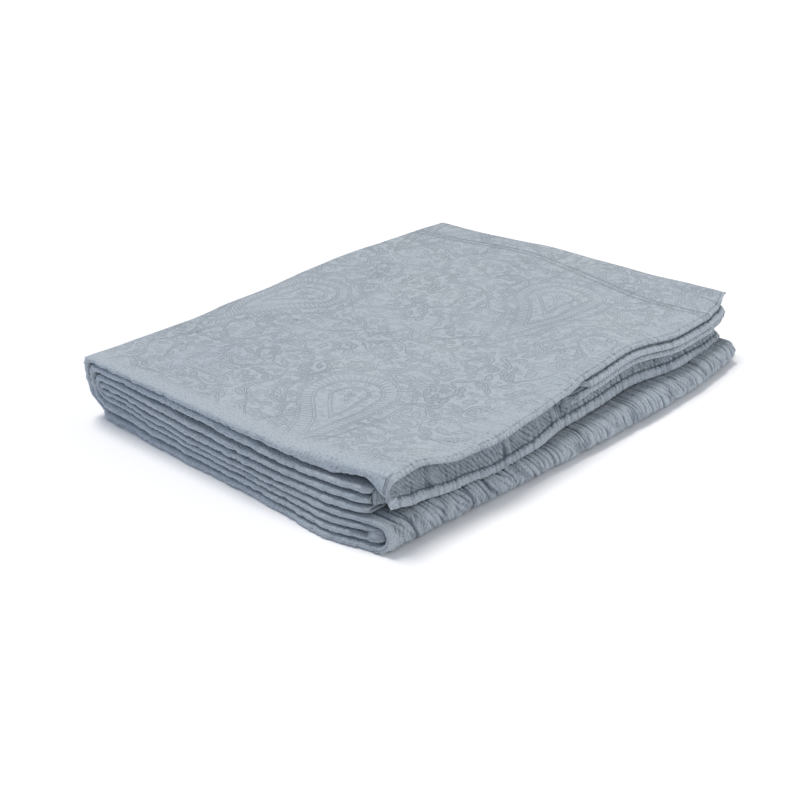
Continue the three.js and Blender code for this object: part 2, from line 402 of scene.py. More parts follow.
def strip_point(part, t, pleat, y):
    """Where a pleat of the strip is, as x and height, at share `t` of one part of the strip."""
    if part == "top_end":
        edge = free_end(pleat, y)
        from_edge = t * STRIP[0]["length"]
        in_hem = clamp(from_edge / SIDE_HEM)
        inward = max(from_edge - SIDE_HEM, 0) / (STRIP[0]["length"] - SIDE_HEM)
        x = mix(edge - HEM_RUN * in_hem, RIGHT_STRAIGHT_X, inward)
        z = ply_height(pleat, x, y)
        if in_hem < 1:
            hanging = z - hem_drop(pleat, y) * (1 - smooth(in_hem))
            floor = resting_height(y) + (CLOTH_THICKNESS * lowered(y) if pleat == 1 else 0)
            z = max(hanging, min(z, floor))
        return x, z
    if part == "second_end":
        x = mix(RIGHT_STRAIGHT_X, inner_end(y), t)
        return x, ply_height(7 - pleat, x, y)
    if part == "left_wrap":
        return left_turn(pleat, LAST_PLY - pleat, y, t)
    if part == "left_inner":
        return left_turn(7 - pleat, 8 + pleat, y, 1 - t)
    if part == "roll":
        return right_roll(pleat, y, 1 - t)
    ply = {"top": pleat, "second": 7 - pleat, "third": 8 + pleat, "base": LAST_PLY - pleat}[part]
    leftward = part in ("top", "third")
    x = mix(RIGHT_STRAIGHT_X, LEFT_TURN_X, t if leftward else 1 - t)
    return x, ply_height(ply, x, y)


@lru_cache(maxsize=None)
def crest(part, t, pleat, at_back):
    """Where the crest that joins a pleat to the next starts, and how far it stands out."""
    y = BACK_Y if at_back else FRONT_Y
    x1, z1 = strip_point(part, t, pleat, y)
    x2, z2 = strip_point(part, t, pleat + 1, y)
    reach = min(math.hypot(x1 - x2, z1 - z2) / 2, CREST_LIMIT)
    if at_back:
        return BACK_Y - HALF - reach, reach
    low, high, share = between(FRONT, "x", (x1 + x2) / 2)
    rise = (z1 + z2) / 2 / STACK_HEIGHT
    out = mix(mix(low["base"], low["top"], rise), mix(high["base"], high["top"], rise), share)
    if pleat == 2 and part in ("top", "top_end", "left_wrap"):
        away = ((x1 + x2) / 2 - SET_BACK["x"]) / SET_BACK["spread"]
        out += SET_BACK["depth"] * math.exp(-away * away) * clamp(rise * 2 - 1)
    return out + HALF + reach, reach


def round_corner(x, y):
    """Rounds the front right corner of the plies that end inside the stack, seen from above."""
    over_x = x - (CORNER_END_X - CORNER["rounding"])
    over_y = CORNER["front"] + CORNER["rounding"] - y
    if over_x <= 0 or over_y <= 0:
        return x, y
    shrink = max(over_x, over_y) / math.hypot(over_x, over_y)
    return x - over_x * (1 - shrink), y + over_y * (1 - shrink)


def folded(part, t, across, s):
    """A cloth point's place in the folded stack, in millimetres."""
    place = square_folded(part, t, across, s)
    tucked = part in ("second", "second_end") or across in ("pleat_2", "front_2", "pleat_3")
    if tucked and part in ("second", "second_end", "top", "top_end"):
        place.x, place.y = round_corner(place.x, place.y)
    return place


def square_folded(part, t, across, s):
    """A cloth point's place before the inner corners are rounded."""
    kind, number = across.split("_")
    pleat = int(number)
    if kind != "pleat":
        at_back = kind == "back"
        start, reach = crest(part, t, pleat, at_back)
        x1, z1 = strip_point(part, t, pleat, start)
        x2, z2 = strip_point(part, t, pleat + 1, start)
        share = (1 - math.cos(math.pi * s)) / 2
        out = max(math.sin(math.pi * s), 0.0) ** CREST_POWER * reach * (1 if at_back else -1)
        return Vector((mix(x1, x2, share), start + out, mix(z1, z2, share)))
    front = crest(part, t, 0 if pleat < 2 else 2, False)[0]
    if pleat in (0, 3):
        on_top = part in ("top_end", "top")
        back = INNER_HEM_Y
        if on_top and pleat == 0:
            reach_x = strip_point(part, t, pleat, BACK_Y)[0]
            back = mix(INNER_HEM_Y, BACK_HEM_Y, smooth((reach_x - LEFT_TURN_X) / 150))
            back += CORNER["tip"] * smooth((reach_x - RIGHT_STRAIGHT_X) / 40)
    else:
        back = crest(part, t, 1, True)[0]
    forward = pleat in (0, 2)
    y = mix(back, front, s) if forward else mix(front, back, s)
    x, z = strip_point(part, t, pleat, y)
    return Vector((x, y, z))


# Ruffles: the spacing and depth of the gathers where the cloth bends or ends, in millimetres
ROLL_GATHER = dict(pitch=6.6, depth=3.3, lean=0.7)
ROLL_FOLD = dict(pitch=19.0, depth=1.4, lean=0.6)
WALL_GATHER = dict(pitch=7.0, depth=4.6, lean=1.0)
EDGE_GATHER = dict(pitch=6.0, depth=1.7, lean=0.3)
CREST_GATHER = dict(pitch=10.0, depth=2.0, lean=0.4)
HEM_GATHER = dict(pitch=13.0, depth=2.6, lean=0.8)
DEEP_CREASES = (dict(y=34, depth=1.4), dict(y=122, depth=2.8), dict(y=255, depth=1.2),
                dict(y=402, depth=1.4), dict(y=560, depth=1.2))


def wander(x, y, z=0.0):
    """Even noise from -1 to 1 that changes over about one unit."""
    return noise.noise(Vector((x, y, z)))


def gather(kind, along_edge, across_edge, seed):
    """Rounded ridges between sharp grooves, unevenly spaced: 0 on the ridges, -depth in the grooves."""
    pitch = kind["pitch"]
    place = along_edge + kind["lean"] * across_edge
    place += 1.5 * pitch * wander(place / (2.6 * pitch), across_edge / 28, seed)
    strength = 0.9 + 0.5 * wander(place / (2.4 * pitch), across_edge / 30, seed + 7.5)
    ridge = abs(math.sin(math.pi * place / pitch)) ** 0.85
    return kind["depth"] * max(clamp(strength), 0.6) * (ridge - 1)


def share_from_front(across, s):
    """How far a place on a pleat is from the front edge, as a share of the pleat."""
    return 1 - s if across in ("pleat_0", "pleat_2") else s


def hem_line(along):
    """How far the wide hem's stitching runs from the back edge, at a place along it."""
    return HEM["line"] + HEM["sway"] * math.cos(2 * math.pi * along / HEM["wave"] - 0.9)


def gathers(part, t, across, s, place):
    """How far a point of the cloth stands out of its smooth fold, and how deep in a groove it is."""
    x, y, z = place
    swell, groove = 0.0, 0.0
    from_edge = t * STRIP[0]["length"]
    eased = smooth(share_from_front(across, s) * ACROSS[0]["length"] / 10)
    if across == "pleat_0" and part != "base":
        swell += 0.9 * wander(x / 70, y / 55, z / 60) + 0.35 * wander(x / 22, y / 26, 3)
    if across == "pleat_0" and part == "roll":
        fade = clamp(5 * min(t, 1 - t)) * eased
        swell += fade * 1.6
        groove += fade * (gather(ROLL_GATHER, y, z, 1) + gather(ROLL_FOLD, y, z, 11))
        for crease in DEEP_CREASES:
            off = (y + 0.3 * z - crease["y"]) / 3.0
            groove -= fade * crease["depth"] * math.exp(-off * off)
    if across == "pleat_0" and part in ("top", "top_end"):
        groove += smooth((x - 424) / 44) * smooth(s * 40) * eased * gather(EDGE_GATHER, y, x, 2)
        for line in (-HEM["apart"] / 2, HEM["apart"] / 2):
            off = (s * ACROSS[0]["length"] - hem_line(cloth_length(STRIP, part, t)) - line) / 3
            swell -= 0.8 * math.exp(-off * off)
    if part == "top_end" and across in ("pleat_1", "pleat_3"):
        shown = 1 - lifted_back(y) if across == "pleat_1" else lowered(y)
        inside = smooth((x - 436) / 14)
        pressed = 1 - 0.7 * smooth((SIDE_HEM + 2 - from_edge) / 4)
        groove += shown * inside * pressed * eased * gather(WALL_GATHER, y, x, 4)
        swell -= 0.5 * shown * inside
    if part == "top_end":
        inner = -1 if across in ("pleat_1", "pleat_3") else 1
        hem = smooth((from_edge - SIDE_HEM - 3) / -3)
        line = math.exp(-((from_edge - SIDE_HEM) / 2.4) ** 2)
        on_top = across == "pleat_0"
        swell += inner * 0.8 * hem * math.sin(math.pi * clamp(from_edge / SIDE_HEM))
        groove += hem * (0.25 if on_top else 0.6) * gather(HEM_GATHER, y, 0, 5) - 1.3 * line
    if across.startswith("front"):
        groove += math.sin(math.pi * s) * gather(CREST_GATHER, x + 0.5 * z, z, 6)
        swell += (0.5 + 2.1 * wander(x / 13, z / 6, 9)) * math.sin(math.pi * s)
    inwards = -1 if across in ("pleat_1", "pleat_3") else 1
    return swell + groove * inwards, clamp(-groove / 3)


def gathered_and_plain(part, t, across, s, place):
    """How far the cloth is drawn into fine ridges at a place, and how far its figures are lost."""
    drawn = 0.0
    if part == "roll":
        drawn = clamp(5 * min(t, 1 - t))
    if part in ("top_end", "second_end"):
        drawn = smooth((place.x - 434) / 40)
        if across == "pleat_0":
            drawn *= 0.4 + 0.6 * smooth((SIDE_HEM - t * STRIP[0]["length"]) / 3)
    from_front = 0.0
    if across.startswith("pleat"):
        from_front = PLEAT_RUN * share_from_front(across, s)
    return drawn, max(0.8 * drawn, 1 - smooth((from_front - 4) / 24))


def cell_size(part, t, across, s, y):
    """The length of cloth, along and across the strip, that one face may cover at this place."""
    if across.startswith("front"):
        return 4.2, 3.6
    if across.startswith("back"):
        return 9, 6
    to_front = share_from_front(across, s) * PLEAT_RUN
    to_back = PLEAT_RUN - to_front
    if to_front < 9 and (part, across) != ("roll", "pleat_0"):
        return 4.6, 5
    if part == "top_end" and across == "pleat_0":
        return (3.6 if t < 0.3 else 7), 1.6
    if part == "top_end" and across == "pleat_1":
        return (3.6 if t < 0.5 else 7), (1.6 if y < 345 else 3.2)
    if part == "top_end" and across == "pleat_2" and y > 285:
        return (3.6 if t < 0.5 else 7), 3.2
    if part == "top_end" and across == "pleat_3" and y > 225:
        return (3.6 if t < 0.5 else 7), 1.6
    if across == "pleat_0":
        if part == "top":
            return (13, 2.3) if s < 0.13 else (13, 13)
        if part == "left_wrap":
            return 6.5, 9
        if part == "roll":
            return 7.2, 1.6
    if to_back < 10:
        return 9, 6
    return 30, 30


def located(rows, at):
    """The row that holds a place counted in cells, and the share of the way along it."""
    for row in rows:
        if at <= row["cells"] or row is rows[-1]:
            return row, clamp(at / row["cells"])
        at -= row["cells"]


def cloth_length(rows, name, share):
    """How far along the flat cloth a place is, in millimetres."""
    before = 0
    for row in rows:
        if row["name"] == name:
            return before + row["length"] * share
        before += row["length"]


STRIP_CELLS = sum(row["cells"] for row in STRIP)
ACROSS_CELLS = sum(row["cells"] for row in ACROSS)


def flat_cloth():
    """The cloth as a flat grid, one unit for each base cell, with smaller faces where it shows."""
    bm = bmesh.new()
    bmesh.ops.create_grid(bm, x_segments=STRIP_CELLS, y_segments=ACROSS_CELLS, size=0.5)
    bmesh.ops.translate(bm, verts=bm.verts, vec=(0.5, 0.5, 0))
    bmesh.ops.scale(bm, verts=bm.verts, vec=(STRIP_CELLS, ACROSS_CELLS, 1))
    for _ in range(5):
        wanted = set()
        for face in bm.faces:
            middle = face.calc_center_median()
            part, t = located(STRIP, middle.x)
            across, s = located(ACROSS, middle.y)
            y = FRONT_Y + PLEAT_RUN * share_from_front(across["name"], s)
            sizes = cell_size(part["name"], t, across["name"], s, y)
            units = part["length"] / part["cells"], across["length"] / across["cells"]
            for edge in face.edges:
                run = edge.verts[1].co - edge.verts[0].co
                lengths = abs(run.x) * units[0], abs(run.y) * units[1]
                way = 0 if lengths[0] > lengths[1] else 1
                if lengths[way] > 1.35 * sizes[way]:
                    wanted.add(edge)
        if not wanted:
            break
        bmesh.ops.subdivide_edges(bm, edges=list(wanted), cuts=1, use_grid_fill=True)
    many_sided = [face for face in bm.faces if len(face.verts) > 4]
    bmesh.ops.triangulate(bm, faces=many_sided)
    return bm


def fold(bm):
    """Carries each point of the flat grid to its folded place, and writes its cloth coordinates."""
    uv = bm.loops.layers.uv.new("UVMap")
    # The groove layer holds how deep each point lies in a ruffle's groove, which the material uses to paint
    # shade there
    names = "groove", "gathered", "plain"
    for name in names:
        bm.verts.layers.float.new(name)
    layers = [bm.verts.layers.float[name] for name in names]
    where = {}
    for vert in bm.verts:
        part, t = located(STRIP, vert.co.x)
        across, s = located(ACROSS, vert.co.y)
        flat = cloth_length(STRIP, part["name"], t) * MM, cloth_length(ACROSS, across["name"], s) * MM
        where[vert] = part["name"], t, across["name"], s, flat
    for face in bm.faces:
        for loop in face.loops:
            loop[uv].uv = where[loop.vert][4]
    for vert, (part, t, across, s, _) in where.items():
        vert.co = folded(part, t, across, s)
    bm.normal_update()
    top = max(bm.verts, key=lambda v: v.co.z)
    if top.normal.z < 0:
        bmesh.ops.reverse_faces(bm, faces=bm.faces)
        bm.normal_update()
    for vert, place in where.items():
        lift, groove = gathers(*place[:4], vert.co)
        finish = groove, *gathered_and_plain(*place[:4], vert.co)
        for layer, value in zip(layers, finish):
            vert[layer] = value
        vert.co += vert.normal * lift
        vert.co.z = max(vert.co.z, HALF)
    bmesh.ops.translate(bm, verts=bm.verts, vec=-CENTRE)
    bmesh.ops.scale(bm, verts=bm.verts, vec=(MM, MM, MM))


def linear(hex_colour):
    """An sRGB hex colour as linear red, green and blue."""
    values = [int(hex_colour[i:i + 2], 16) / 255 for i in (1, 3, 5)]
    return [v / 12.92 if v <= 0.04045 else ((v + 0.055) / 1.055) ** 2.4 for v in values]


def add(tree, kind, inputs=(), **settings):
    """Adds a node with its settings. An input takes a value, a socket or a node's first output."""
    node = tree.nodes.new("ShaderNode" + kind)
    for name, value in settings.items():
        setattr(node, name, value)
    for name, value in dict(inputs).items():
        if isinstance(value, bpy.types.Node):
            value = value.outputs[0]
        if isinstance(value, bpy.types.NodeSocket):
            tree.links.new(value, node.inputs[name])
        else:
            node.inputs[name].default_value = value
    return node


def matelasse(cloth):
    """Woven cotton matelasse, a double cloth whose two layers are woven together along its figures.

    The eye sees puffed shapes between thin sunk lines on a dull, finely woven surface, and the
    sunk lines are a little darker. All lengths are millimetres of flat cloth.
    """
    material = bpy.data.materials.new("Woven cotton matelasse")
    material.use_nodes = True
    tree = material.node_tree
    tree.nodes.clear()
    coordinates = add(tree, "TexCoord").outputs["UV"]
    flat = add(tree, "VectorMath", {0: coordinates, "Scale": 1000}, operation="SCALE")
    flat_parts = add(tree, "SeparateXYZ", {0: flat})
    along, across = flat_parts.outputs[0], flat_parts.outputs[1]

    # Loose weaving makes every line wander by a few millimetres
    drift = add(tree, "TexNoise", {"Vector": flat, "Scale": 1 / DRIFT["size"], "Detail": 1.0})
    drift = add(tree, "VectorMath", {0: drift.outputs["Color"], 1: (0.5, 0.5, 0.5)}, operation="SUBTRACT")
    drift = add(tree, "VectorMath", {0: drift, "Scale": DRIFT["reach"]}, operation="SCALE")
    drawn = add(tree, "VectorMath", {0: flat, 1: drift}, operation="ADD")

    # Paisleys stand in columns, each column turned over and set half a step from the last
    one_step = PAISLEY["column"], PAISLEY["row"], 1
    placed = add(tree, "VectorMath", {0: drawn, 1: one_step}, operation="DIVIDE")
    placed = add(tree, "SeparateXYZ", {0: placed})
    column = add(tree, "Math", {0: placed.outputs[0]}, operation="FLOOR")
    odd = add(tree, "Math", {0: column, 1: 2.0}, operation="FLOORED_MODULO")
    stepped = add(tree, "Math", {0: odd, 1: 0.5, 2: placed.outputs[1]}, operation="MULTIPLY_ADD")
    turned_over = add(tree, "Math", {0: odd, 1: -2.0, 2: 1.0}, operation="MULTIPLY_ADD")
    in_column = add(tree, "Math", {0: placed.outputs[0]}, operation="FRACT")
    in_column = add(tree, "Math", {0: in_column, 1: 0.5}, operation="SUBTRACT")
    in_column = add(tree, "Math", {0: in_column, 1: turned_over}, operation="MULTIPLY")
    in_row = add(tree, "Math", {0: stepped}, operation="FRACT")
    in_row = add(tree, "Math", {0: in_row, 1: 0.5}, operation="SUBTRACT")
    local = add(tree, "CombineXYZ", {0: in_column, 1: in_row})
    local = add(tree, "VectorMath", {0: local, 1: one_step}, operation="MULTIPLY")
    local = add(tree, "VectorRotate", {"Vector": local, "Angle": PAISLEY["turn"]}, rotation_type="Z_AXIS")
    local = add(tree, "SeparateXYZ", {0: local})

    # A paisley is a round head that narrows along a bent axis: how deep a point lies inside it
    from_head = add(tree, "Math", {0: local.outputs[1], 1: PAISLEY["head_offset"]}, operation="ADD")
    along_axis = add(tree, "Math", {0: from_head, 1: PAISLEY["axis"]}, operation="DIVIDE", use_clamp=True)
    bend = add(tree, "Math", {0: along_axis, 1: 2.2}, operation="POWER")
    bend = add(tree, "Math", {0: bend, 1: PAISLEY["bend"]}, operation="MULTIPLY")
    sideways = add(tree, "Math", {0: local.outputs[0], 1: bend}, operation="SUBTRACT")
    beyond = add(tree, "Math", {0: along_axis, 1: -PAISLEY["axis"], 2: from_head}, operation="MULTIPLY_ADD")
    off_axis = add(tree, "CombineXYZ", {0: sideways, 1: beyond})
    off_axis = add(tree, "VectorMath", {0: off_axis}, operation="LENGTH")
    narrowing = add(tree, "Math", {0: 1.0, 1: along_axis}, operation="SUBTRACT")
    narrowing = add(tree, "Math", {0: narrowing, 1: 0.85}, operation="POWER")
    depth = add(tree, "Math", {0: narrowing, 1: PAISLEY["head"]}, operation="MULTIPLY")
    depth = add(tree, "Math", {0: depth, 1: off_axis.outputs["Value"]}, operation="SUBTRACT")

    # Sunk double outlines, nested from the edge inwards
    nested = add(tree, "Math", {0: depth, 1: OUTLINE["step"]}, operation="FLOORED_MODULO")
    nested = add(tree, "Math", {0: nested, 1: OUTLINE["apart"]}, operation="SUBTRACT")
    nested = add(tree, "Math", {0: nested}, operation="ABSOLUTE")
    nested = add(tree, "Math", {0: nested, 1: OUTLINE["apart"]}, operation="SUBTRACT")
    nested = add(tree, "Math", {0: nested}, operation="ABSOLUTE")
    nested = add(tree, "MapRange", {0: nested, 1: 0.3, 2: OUTLINE["groove"]}, interpolation_type="SMOOTHSTEP")
    edge_only = add(tree, "Math", {0: depth, 1: -2.0}, operation="LESS_THAN")
    nested = add(tree, "Math", {0: nested, 1: edge_only}, operation="MAXIMUM")

    # Leaves lie scattered on the ground, each with an outline, a midrib and slanting veins
    swirl = add(tree, "TexNoise", {"Vector": drawn, "Scale": 1 / SWIRL["size"], "Detail": 0.0})
    bent = add(tree, "VectorMath", {0: swirl.outputs["Color"], "Scale": SWIRL["reach"]}, operation="SCALE")
    ground = add(tree, "VectorMath", {0: drawn, 1: bent}, operation="ADD")
    ground = add(tree, "VectorMath", {0: ground, "Scale": 1 / LEAF["spacing"]}, operation="SCALE")
    leaf = add(tree, "TexVoronoi", {"Vector": ground, "Scale": 1.0, "Randomness": 0.75},
               voronoi_dimensions="2D")
    in_leaf = add(tree, "VectorMath", {0: ground, 1: leaf.outputs["Position"]}, operation="SUBTRACT")
    chance = add(tree, "SeparateXYZ", {0: leaf.outputs["Color"]})
    heading = add(tree, "Math", {0: chance, 1: 6.28}, operation="MULTIPLY")
    in_leaf = add(tree, "VectorRotate", {"Vector": in_leaf, "Angle": heading}, rotation_type="Z_AXIS")
    in_leaf = add(tree, "VectorMath", {0: in_leaf, "Scale": LEAF["spacing"]}, operation="SCALE")
    in_leaf = add(tree, "SeparateXYZ", {0: in_leaf})
    off_midrib = add(tree, "Math", {0: in_leaf.outputs[0]}, operation="ABSOLUTE")
    lengthways = add(tree, "Math", {0: in_leaf.outputs[1], 1: LEAF["half_length"]}, operation="DIVIDE")
    lengthways = add(tree, "Math", {0: lengthways, 1: lengthways}, operation="MULTIPLY")
    in_edge = add(tree, "Math", {0: off_midrib, 1: 1 / LEAF["half_width"], 2: lengthways},
                  operation="MULTIPLY_ADD")
    in_edge = add(tree, "Math", {0: 1.0, 1: in_edge}, operation="SUBTRACT")
    in_edge = add(tree, "Math", {0: in_edge, 1: LEAF["half_width"]}, operation="MULTIPLY")
    leaf_line = add(tree, "Math", {0: in_edge}, operation="ABSOLUTE")
    leaf_line = add(tree, "MapRange", {0: leaf_line, 1: 0.1, 2: 1.1}, interpolation_type="SMOOTHSTEP")
    midrib = add(tree, "MapRange", {0: off_midrib, 1: 0.1, 2: 1.1, 3: 0.3, 4: 1.0})
    vein = add(tree, "Math", {0: off_midrib, 1: in_leaf.outputs[1]}, operation="ADD")
    vein = add(tree, "Math", {0: vein, 1: LEAF["vein"] / 2}, operation="PINGPONG")
    vein = add(tree, "MapRange", {0: vein, 1: 0.1, 2: 1.2, 3: 0.55, 4: 1.0})
    inside = add(tree, "Math", {0: midrib, 1: vein}, operation="MULTIPLY")
    is_inside = add(tree, "Math", {0: in_edge, 1: 0.0}, operation="GREATER_THAN")

    # Small round buds lie between the leaves
    buds = add(tree, "TexVoronoi", {"Vector": drawn, "Scale": 1 / BUD["spacing"], "Randomness": 0.85},
               voronoi_dimensions="2D")
    bud_line = add(tree, "Math", {0: buds.outputs["Distance"], 1: BUD["spacing"]}, operation="MULTIPLY")
    bud_line = add(tree, "Math", {0: bud_line, 1: BUD["radius"]}, operation="SUBTRACT")
    bud_line = add(tree, "Math", {0: bud_line}, operation="ABSOLUTE")
    bud_line = add(tree, "MapRange", {0: bud_line, 1: 0.1, 2: 1.2, 3: 0.3, 4: 1.0})
    leaves = add(tree, "Mix", {0: is_inside, 2: bud_line, 3: inside})
    leaves = add(tree, "Math", {0: leaves, 1: leaf_line}, operation="MULTIPLY")

    # Stems wind between them as two lines side by side
    stem = add(tree, "Math", {0: swirl.outputs[0], 1: 0.5}, operation="SUBTRACT")
    stem = add(tree, "Math", {0: stem}, operation="ABSOLUTE")
    stem = add(tree, "Math", {0: stem, 1: STEM["spread"]}, operation="MULTIPLY")
    stem_side = add(tree, "Math", {0: stem, 1: STEM["half_gap"]}, operation="SUBTRACT")
    stem_side = add(tree, "Math", {0: stem_side}, operation="ABSOLUTE")
    stem_line = add(tree, "MapRange", {0: stem_side, 1: 0.1, 2: 1.1}, interpolation_type="SMOOTHSTEP")
    on_stem = add(tree, "Math", {0: stem, 1: STEM["half_gap"]}, operation="LESS_THAN")
    leaves = add(tree, "Math", {0: leaves, 1: on_stem}, operation="MAXIMUM")
    leaves = add(tree, "Math", {0: leaves, 1: stem_line}, operation="MULTIPLY")

    # The paisley's outer ring holds leaves too, the next ring hatching across it, and its middle buds
    aside = add(tree, "Math", {0: sideways}, operation="ABSOLUTE")
    round_head = add(tree, "Math", {0: beyond, 1: aside}, operation="ARCTAN2")
    round_head = add(tree, "Math", {0: round_head, 1: PAISLEY["head"] / 2}, operation="MULTIPLY")
    hatching = add(tree, "Math", {0: along_axis, 1: PAISLEY["axis"], 2: round_head}, operation="MULTIPLY_ADD")
    hatching = add(tree, "Math", {0: hatching, 1: HATCH / 2}, operation="PINGPONG")
    hatching = add(tree, "MapRange", {0: hatching, 1: 0.2, 2: 1.5, 3: 0.1, 4: 1.0})
    in_rings = add(tree, "Math", {0: depth, 1: OUTLINE["step"]}, operation="GREATER_THAN")
    in_middle = add(tree, "Math", {0: depth, 1: 2 * OUTLINE["step"]}, operation="GREATER_THAN")
    filling = add(tree, "Mix", {0: in_rings, 2: leaves, 3: hatching})
    filling = add(tree, "Mix", {0: in_middle, 2: filling, 3: bud_line})
    figure = add(tree, "Math", {0: filling, 1: nested}, operation="MULTIPLY")

    # Two rows of machine stitching hold the wide hem, and one row each side hem but the top layer's
    sway = add(tree, "Math", {0: along, 1: 2 * math.pi / HEM["wave"], 2: -0.9}, operation="MULTIPLY_ADD")
    sway = add(tree, "Math", {0: sway}, operation="COSINE")
    sway = add(tree, "Math", {0: sway, 1: -HEM["sway"], 2: across}, operation="MULTIPLY_ADD")
    rows = add(tree, "Math", {0: sway, 1: HEM["line"]}, operation="SUBTRACT")
    rows = add(tree, "Math", {0: rows}, operation="ABSOLUTE")
    rows = add(tree, "Math", {0: rows, 1: HEM["apart"] / 2}, operation="SUBTRACT")
    side_row = add(tree, "Math", {0: along, 1: SIDE_HEM + 1.5}, operation="SUBTRACT")
    seam = None
    for distance, length in ((rows, along), (side_row, across)):
        away = add(tree, "Math", {0: distance}, operation="ABSOLUTE")
        width = 3.0 if distance is rows else 2.0
        sunk = add(tree, "MapRange", {0: away, 1: 0.4, 2: width}, interpolation_type="SMOOTHSTEP")
        dash = add(tree, "Math", {0: length, 1: HEM["stitch"] / 2}, operation="PINGPONG")
        dash = add(tree, "MapRange", {0: dash, 1: 0.4, 2: 0.9, 3: 0.0, 4: 0.4})
        thread = add(tree, "MapRange", {0: away, 1: 0.6, 2: 1.2, 3: 1.0, 4: 0.0})
        thread = add(tree, "Math", {0: thread, 1: dash}, operation="MULTIPLY")
        sunk = add(tree, "Math", {0: sunk, 1: thread}, operation="ADD")
        if distance is side_row:
            on_top = add(tree, "Math", {0: across, 1: ACROSS[0]["length"]}, operation="LESS_THAN")
            sunk = add(tree, "Mix", {0: on_top, 2: sunk, 3: 1.0})
        seam = add(tree, "Math", {0: seam, 1: sunk}, operation="MULTIPLY") if seam else sunk

    # The weave is drawn at 2.4 mm a thread, about four times the real one, so that it shows
    weave = add(tree, "VectorMath", {0: drawn, "Scale": math.pi / THREAD}, operation="SCALE")
    weave = add(tree, "VectorMath", {0: weave}, operation="SINE")
    weave = add(tree, "SeparateXYZ", {0: weave})
    weave = add(tree, "Math", {0: weave.outputs[0], 1: weave.outputs[1]}, operation="MULTIPLY")
    nubs = add(tree, "TexNoise", {"Vector": flat, "Scale": 1 / NUBS["size"], "Detail": 2.0})
    nubs = add(tree, "Math", {0: nubs.outputs[0], 1: 0.5, 2: weave}, operation="MULTIPLY_ADD")

    # The figures are almost lost where the cloth is gathered or folded sharply, and fainter in places
    gathered = add(tree, "Attribute", attribute_name="gathered").outputs["Fac"]
    plain = add(tree, "Attribute", attribute_name="plain").outputs["Fac"]
    faint = add(tree, "TexNoise", {"Vector": flat, "Scale": 1 / DYE["faint"], "Detail": 1.0})
    faint = add(tree, "MapRange", {0: faint.outputs[0], 1: 0.35, 2: 0.75, 3: 0.0, 4: 0.45})
    lost = add(tree, "Math", {0: plain, 1: 0.9, 2: faint}, operation="MULTIPLY_ADD", use_clamp=True)
    figure = add(tree, "Mix", {0: lost, 2: figure, 3: 1.0})
    height = add(tree, "Math", {0: seam, 1: HEM["depth"], 2: figure}, operation="MULTIPLY_ADD")
    height = add(tree, "Math", {0: nubs, 1: NUBS["height"], 2: height}, operation="MULTIPLY_ADD")

    # The cloth shrank a little when it was washed, which crinkles it all over
    crinkle = add(tree, "TexNoise", {
        "Vector": flat, "Scale": 1 / CRINKLE["size"], "Detail": 2.0, "Distortion": 0.6})
    height = add(tree, "Math", {0: crinkle.outputs[0], 1: CRINKLE["height"], 2: height},
                 operation="MULTIPLY_ADD")

    # Where it bends over at the right end it gathers into fine ridges across the bend
    per_pleat = 1 / PLEATING["length"], 1 / PLEATING["apart"], 1
    pleated = add(tree, "VectorMath", {0: flat, 1: per_pleat}, operation="MULTIPLY")
    pleated = add(tree, "TexNoise", {"Vector": pleated, "Scale": 1.0, "Detail": 1.0, "Distortion": 0.15})
    # crease marks the bottoms of these fine creases, where shade is painted into the colour further down
    crease = add(tree, "MapRange", {0: pleated.outputs[0], 1: 0.34, 2: 0.46, 3: 0.2, 4: 0.0})
    crease = add(tree, "Math", {0: crease, 1: gathered}, operation="MULTIPLY")
    pleated = add(tree, "Math", {0: pleated, 1: gathered}, operation="MULTIPLY")
    height = add(tree, "Math", {0: pleated, 1: PLEATING["height"], 2: height}, operation="MULTIPLY_ADD")
    bump = add(tree, "Bump", {"Height": height, "Strength": 1.0, "Distance": cloth.puff})

    # Shade is painted a little darker into the sunk lines and stitch rows; the dye itself lies darker in
    # flecks and varies slowly over the cloth
    fade = add(tree, "TexNoise", {"Vector": flat, "Scale": 1 / DYE["fade"], "Detail": 3.0})
    fade = add(tree, "MapRange", {0: fade.outputs[0], 1: 0.3, 2: 0.7, 3: 0.0, 4: 1.0})
    face = add(tree, "Mix", {0: fade, 6: tuple(cloth.face) + (1,), 7: tuple(cloth.faded) + (1,)},
               data_type="RGBA")
    tone = add(tree, "Math", {0: figure, 1: seam}, operation="MULTIPLY")
    tone = add(tree, "MapRange", {0: tone, 1: 0.0, 2: 0.7, 3: 0.42, 4: 0.0})
    flecks = add(tree, "TexNoise", {"Vector": flat, "Scale": 1 / DYE["fleck"], "Detail": 1.0})
    flecks = add(tree, "MapRange", {0: flecks.outputs[0], 1: 0.5, 2: 0.75, 3: 0.0, 4: 0.9})
    shown = add(tree, "Math", {0: plain, 1: 0.75, 2: 0.25}, operation="MULTIPLY_ADD")
    flecks = add(tree, "Math", {0: flecks, 1: shown}, operation="MULTIPLY")
    tone = add(tree, "Math", {0: tone, 1: flecks}, operation="ADD", use_clamp=True)
    colour = add(tree, "Mix", {0: tone, 6: face.outputs[2], 7: tuple(cloth.sunk) + (1,)}, data_type="RGBA")

